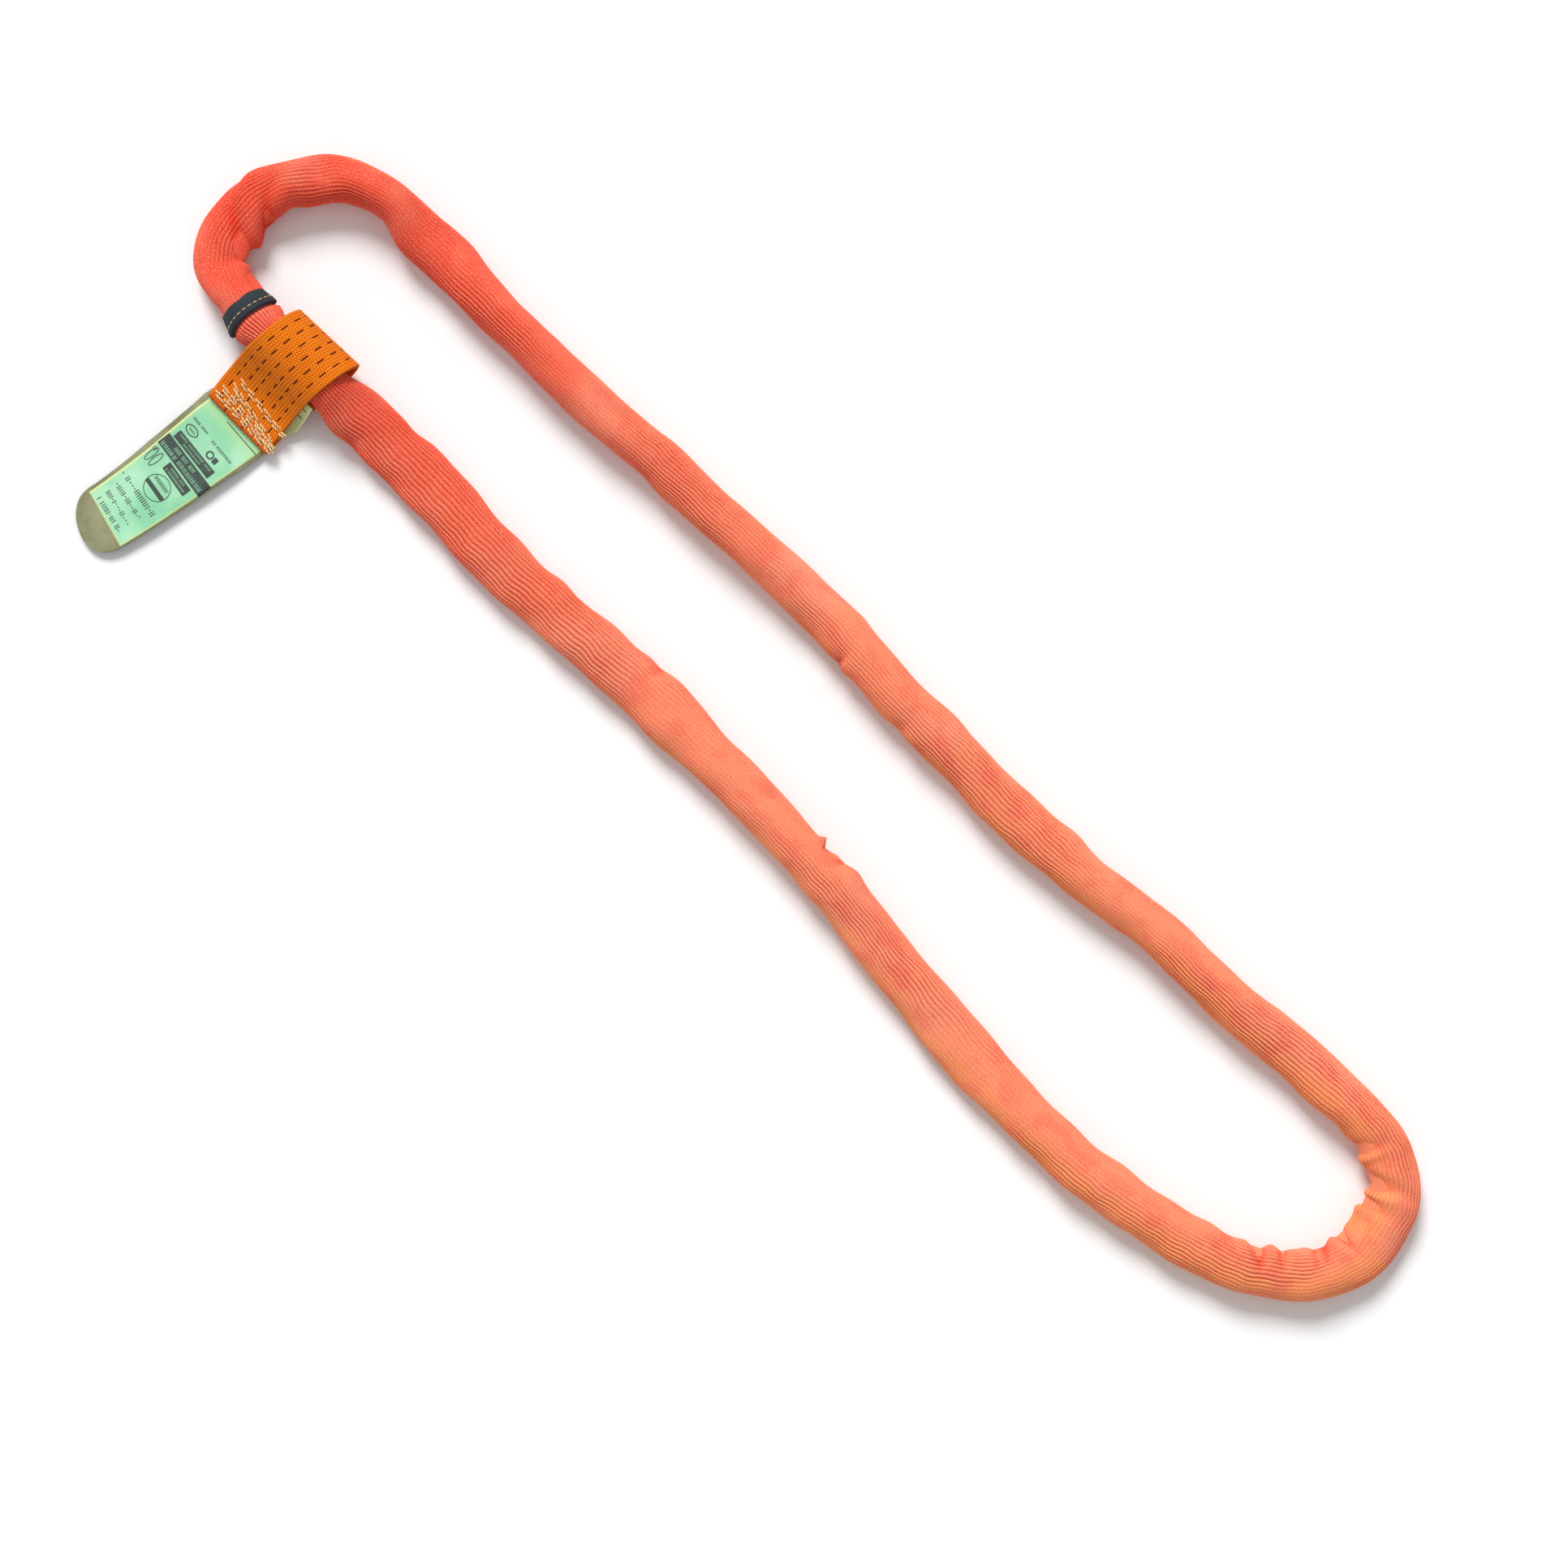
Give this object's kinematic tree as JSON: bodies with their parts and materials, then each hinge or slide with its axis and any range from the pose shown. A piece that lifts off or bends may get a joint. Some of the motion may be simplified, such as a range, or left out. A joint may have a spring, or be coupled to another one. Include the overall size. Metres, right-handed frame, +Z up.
{
  "type": "round sling",
  "caption": "Endless lifting sling: parallel yarn hanks in a ribbed knit jacket, with a sewn webbing strap that carries a folding rating label.",
  "frame": {"origin": "middle of the whole object's footprint, on the table it lies on", "axes": "+X along the long loop, away from the label end; +Y from the label's side to the far side; +Z up"},
  "size_m": [0.9722, 0.2967, 0.0361],
  "materials": {
    "knit_orange": "ribbed knit polyester, matt",
    "core_yarn": "parallel polyester filament yarn",
    "core_tape": "pale adhesive cloth tape",
    "binding_black": "woven black tape, matt",
    "thread_cream": "thick cream sewing thread",
    "webbing_orange": "woven polyester webbing with dark binder threads, heat-cut end",
    "tag_cream": "pale printed film with two ink ticks",
    "film_tan": "cloudy tan film",
    "card_green": null,
    "film_clear": "clear film, glossy"
  },
  "bodies": {
    "sling": {"jacket": "knit_orange", "core_hank_1": "core_yarn", "core_hank_2": "core_yarn", "core_hank_3": "core_yarn", "core_hank_4": "core_yarn", "core_hank_5": "core_yarn", "core_hank_6": "core_yarn", "core_hank_7": "core_yarn", "core_tape": "core_tape", "binding_tape": "binding_black", "binding_thread": "thread_cream"},
    "label_strap": {"label_strap": "webbing_orange", "trace_tag": "tag_cream", "needle_thread_1": "thread_cream", "needle_thread_2": "thread_cream", "needle_thread_3": "thread_cream", "needle_thread_4": "thread_cream", "bobbin_thread_1": "thread_cream", "bobbin_thread_2": "thread_cream", "bobbin_thread_3": "thread_cream", "bobbin_thread_4": "thread_cream"},
    "label_flap": {"pouch_back_film": "film_tan", "label_card": "card_green", "pouch_front_film": "film_clear"}
  },
  "joints": [
    {"name": "strap_swivel", "type": "hinge", "parent": "sling", "child": "label_strap", "pos_m": [-0.38, 0.02437, 0.0177], "axis": [1, 0, 0], "range_deg": [-150, 90]},
    {"name": "label_fold", "type": "hinge", "parent": "label_strap", "child": "label_flap", "pos_m": [-0.38526, -0.03343, 0.0044], "axis": [0.9987, -0.0506, 0], "range_deg": [-110, 90]}
  ]
}
